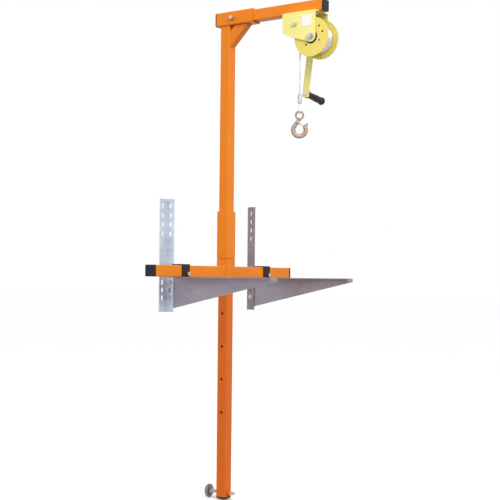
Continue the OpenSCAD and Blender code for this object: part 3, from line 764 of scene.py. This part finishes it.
lift = spiral_tree.add("ShaderNodeCombineXYZ", None, {"Z": height / 2})
raised = spiral_tree.add("GeometryNodeTransform", None, {"Geometry": rod, "Translation": lift})
both = spiral_tree.add("GeometryNodeJoinGeometry", None, {"Geometry": ridge})
spiral_tree.feed(both.socket.node.inputs["Geometry"], raised)
placed = spiral_tree.add(
    "GeometryNodeTransform",
    None,
    {"Geometry": both, "Translation": from_tree("Spot"), "Rotation": from_tree("Turn")},
)
spiral_tree.end(placed)


def spiral_piece(name, finish, **sizes):
    return run_tree(add_object(name, bpy.data.meshes.new(name)), spiral_tree, finish, **sizes)


print("spiral tree has", len(spiral_tree.tree.nodes), "nodes")

# %% Threaded pad rod and pawl spring
rod_low, rod_high = corners_of("pad_rod")
ROD_PITCH = 0.00175
THREAD_DEPTH = 0.0007
RIDGE = 0.00066
rod_core = (rod_high.y - rod_low.y) / 2 - THREAD_DEPTH
rod_turns = (rod_high.x - rod_low.x) / ROD_PITCH
rod_spot = (rod_low.x, 0, (rod_low.z + rod_high.z) / 2)
threaded_rod = spiral_piece(
    "threaded_rod",
    bright_zinc,
    Radius=rod_core,
    Wire=RIDGE,
    Pitch=ROD_PITCH,
    Turns=rod_turns,
    Core=rod_core,
    Spot=rod_spot,
    Turn=(0, math.radians(90), 0),
)
spring_low, spring_high = corners_of("pawl_spring")
SPRING_WIRE = 0.00045
SPRING_CORE = 0.0052
SPRING_TURNS = 2.5
spring_r = (spring_high.x - spring_low.x) / 2 - SPRING_WIRE
spring_pitch = (spring_high.y - spring_low.y - 2 * SPRING_WIRE) / SPRING_TURNS
spring_mid = (spring_low + spring_high) / 2
spring_spot = (spring_mid.x, spring_low.y + SPRING_WIRE, spring_mid.z)
coil = spiral_piece(
    "pawl_coil",
    bright_zinc,
    Radius=spring_r,
    Wire=SPRING_WIRE,
    Pitch=spring_pitch,
    Turns=SPRING_TURNS,
    Core=SPRING_CORE,
    Spot=spring_spot,
    Turn=(math.radians(-90), 0, 0),
)
print("rod turns", round(rod_turns, 1), "spring pitch", round(spring_pitch, 5))

# %% [markdown]
# ## Weld beads
# A hand weld is a row of small overlapping pools, each a touch different. They could be carved
# with a bump, but a bead stands proud and catches its own shadow. The tree walks a line along
# the joint and sets a squashed ball at every step, facing along the line, with a fixed seed for
# the small changes in size.
# %% The bead tree
bead_tree = Tree("weld_bead", Radius=0.0024, Step=0.0017, Spread=0.16, Seed=7)
bead = bead_tree.start.of
weld_line = bead_tree.add(
    "GeometryNodeResampleCurve",
    {"mode": "LENGTH"},
    {"Curve": bead("Geometry"), "Length": bead("Step")},
)
forward = bead_tree.add("GeometryNodeInputTangent")
facing = bead_tree.add("FunctionNodeAlignRotationToVector", {"axis": "Z"}, {"Vector": forward})
ball = bead_tree.add("GeometryNodeMeshUVSphere", None, {"Segments": 10, "Rings": 6, "Radius": bead("Radius")})
chance = bead_tree.add(
    "FunctionNodeRandomValue",
    {"data_type": "FLOAT"},
    {2: 1 - bead("Spread"), 3: 1.0, "Seed": bead("Seed")},
).of(1)
squash = bead_tree.add("ShaderNodeCombineXYZ", None, {"X": chance, "Y": chance, "Z": chance * 0.62})
beads = bead_tree.add(
    "GeometryNodeInstanceOnPoints",
    None,
    {"Points": weld_line, "Instance": ball, "Rotation": facing, "Scale": squash},
)
bead_tree.end(beads)
print("bead tree has", len(bead_tree.tree.nodes), "nodes")

# %% Weld beads at the mast, boom and crossbar
bar_low, bar_high = corners_of("crossbar_left")
socket_low, socket_high = corners_of("mast_socket")
mast_low, mast_high = corners_of("upper_mast")
sleeve_low = corners_of("boom_sleeve")[0]
brace_low, brace_high = corners_of("brace")
SINK = 0.0004
NIP = 0.002
BRACE_FOOT = 0.04


def walk(*corners):
    return [Vector(corner) for corner in corners]


def bar_loop(y):
    x0, x1 = bar_low.x - SINK, bar_high.x + SINK
    z0, z1 = bar_low.z + NIP, bar_high.z + SINK
    return walk((x0, y, z0), (x1, y, z0), (x1, y, z1), (x0, y, z1), (x0, y, z0))


crossbar_lines = [bar_loop(socket_low.y - SINK), bar_loop(socket_high.y + SINK)]
x0, y0 = mast_low.x, mast_low.y
x1, y1 = mast_high.x, mast_high.y
top = mast_high.z
foot = brace_low.z
tip = brace_high.x
mast_lines = [walk((x0, y0, top), (x0, y1, top), (x1, y1, top), (x1, y0, top), (x0, y0, top))]
for y in (brace_low.y, brace_high.y):
    mast_lines.append(walk((x1, y, foot + NIP), (x1, y, foot + BRACE_FOOT)))
    mast_lines.append(walk((tip - BRACE_FOOT, y, top), (tip - NIP, y, top)))
mast_lines.append(walk((x1, brace_low.y, foot), (x1, brace_high.y, foot)))
mast_lines.append(walk((tip, brace_low.y, top), (tip, brace_high.y, top)))
lock_low, lock_high = corners_of("boom_lock_nut")
lock_mid = (lock_low + lock_high) / 2
NUT_RING = 0.0074
PAD_RING = 0.0098
RING_STEPS = 24
AXIS_X = Vector((1, 0, 0))
AXIS_Y = Vector((0, 1, 0))
AXIS_Z = Vector((0, 0, 1))


def nut_ring(middle, radius, first, second):
    points = []
    for step in range(RING_STEPS + 1):
        angle = 2 * math.pi * step / RING_STEPS
        points.append(middle + (first * math.cos(angle) + second * math.sin(angle)) * radius)
    return points


mast_lines.append(nut_ring(Vector((lock_mid.x, sleeve_low.y, lock_mid.z)), NUT_RING, AXIS_X, AXIS_Z))
crossbar_welds = run_tree(path_object("crossbar_welds", crossbar_lines), bead_tree, orange, Radius=0.0022)
mast_welds = run_tree(path_object("mast_welds", mast_lines), bead_tree, orange, Radius=0.002)
pad_nut_low, pad_nut_high = corners_of("pad_nut")
pad_nut_z = (pad_nut_low.z + pad_nut_high.z) / 2
pad_ring = nut_ring(Vector((pad_nut_low.x, 0, pad_nut_z)), PAD_RING, AXIS_Y, AXIS_Z)
# The pad nut's weld takes the lower mast's darker orange, painted shade.
pad_weld = run_tree(path_object("pad_nut_weld", [pad_ring]), bead_tree, shaded_orange, Radius=0.0016)
print("weld faces", [len(w.data.polygons) for w in (crossbar_welds, mast_welds, pad_weld)])

# %% [markdown]
# ## Forged hook
# CAD builds the hook from a ring, bars and balls, which leaves hard creases where they meet.
# A forging has none: metal flows round every corner. A merged copy of the CAD hook is rebuilt
# on a fine grid and relaxed, which melts the creases and shrinks it only a little.
# %% Forged hook
def merged_copy(name, node):
    mesh = nodes[node].data.copy()
    shape = bmesh.new()
    shape.from_mesh(mesh)
    bmesh.ops.remove_doubles(shape, verts=shape.verts, dist=0.00002)
    bmesh.ops.recalc_face_normals(shape, faces=shape.faces)
    shape.to_mesh(mesh)
    shape.free()
    mesh.materials.clear()
    return add_object(name, mesh)


HOOK_GRID = 0.0009
forging = merged_copy("forged_hook", "hook")
grid = forging.modifiers.new("grid", "REMESH")
grid.mode = "VOXEL"
grid.voxel_size = HOOK_GRID
grid.use_smooth_shade = True
relax = forging.modifiers.new("relax", "SMOOTH")
relax.factor = 0.5
relax.iterations = 7
forging = settle(forging)
forging.data.materials.append(forged_copper)

# %% [markdown]
# ## Crank grip
# The grip is a moulded sleeve that spins on its pin, with a collar at each end and a swell for
# the palm. It is turned from an outline like a lathe part, which gives clean round collars that
# a stretched cylinder would not, and it leans down a little with its pin.
# %% Crank grip
grip_joint = [j for j in frame["joints"] if j["name"] == "grip_spin"][0]
grip_axis = Vector(grip_joint["axis"]).normalized()
grip_foot = Vector(grip_joint["pos_m"])
GRIP_START = 0.0085
GRIP_LENGTH = 0.105
BORE = 0.0041
shape = [(0.0, 0.0131), (0.0012, 0.0143), (0.0048, 0.0143), (0.0062, 0.0135), (0.0085, 0.0119)]
shape += [(0.02, 0.0112), (0.032, 0.0110), (0.045, 0.0117), (0.058, 0.0124), (0.072, 0.0124)]
shape += [(0.084, 0.0120), (0.093, 0.0126), (0.0985, 0.0141), (0.1015, 0.0144), (0.1038, 0.0142)]
shape += [(0.105, 0.0130)]
grip_line = [(BORE, 0.0)] + [(radius, height) for height, radius in shape] + [(BORE, GRIP_LENGTH)]
fine_line = []
for (r0, h0), (r1, h1) in zip(grip_line, grip_line[1:] + grip_line[:1]):
    fine_line += [(r0 + (r1 - r0) * part / 3, h0 + (h1 - h0) * part / 3) for part in range(3)]
lean = Vector((0, 0, 1)).rotation_difference(grip_axis).to_matrix().to_4x4()
grip_place = Matrix.Translation(grip_foot + grip_axis * GRIP_START) @ lean
grip_mesh = outward(turned("palm_grip", fine_line), grip_place)
palm_grip = add_object("palm_grip", grip_mesh)
palm_grip.data.materials.append(grip_rubber)
print("grip axis", [round(v, 3) for v in grip_axis])

# %% [markdown]
# ## Riding and replacing
# Each new piece says which body carries it, which material slot it is listed under and which CAD
# nodes it stands for. It is attached to its body, so that every pose moves it, and the CAD nodes
# it stands for are hidden.
# %% Riding and replacing
RIDES = [
    (windings, "drum", "rope_wire", ("rope_windings",)),
    (buried, "drum", "rope_wire", ()),
    (drum_bush_and_shade, "drum", "black_plastic", ()),
    (rope_eye, "rope_end", "rope_wire", ("rope_loop",)),
    (threaded_rod, "wall_pad", "zinc", ("pad_rod",)),
    (coil, "boom", "zinc", ("pawl_spring",)),
    (crossbar_welds, "wall_brackets", "orange_paint", ()),
    (mast_welds, "upper_mast_assembly", "orange_paint", ()),
    (pad_weld, "lower_mast_assembly", "orange_paint", ()),
    (forging, "hook", "bronze", ("hook",)),
    (palm_grip, "grip", "black_rubber", ("crank_grip",)),
]
for piece, body, slot_name, stands_for in RIDES:
    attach(piece, body)
    if stands_for:
        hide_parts(*stands_for)
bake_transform(hanging)
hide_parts("hanging_rope")
print(len(RIDES) + 1, "pieces ride")

import json

print("CAD box", cad_box)
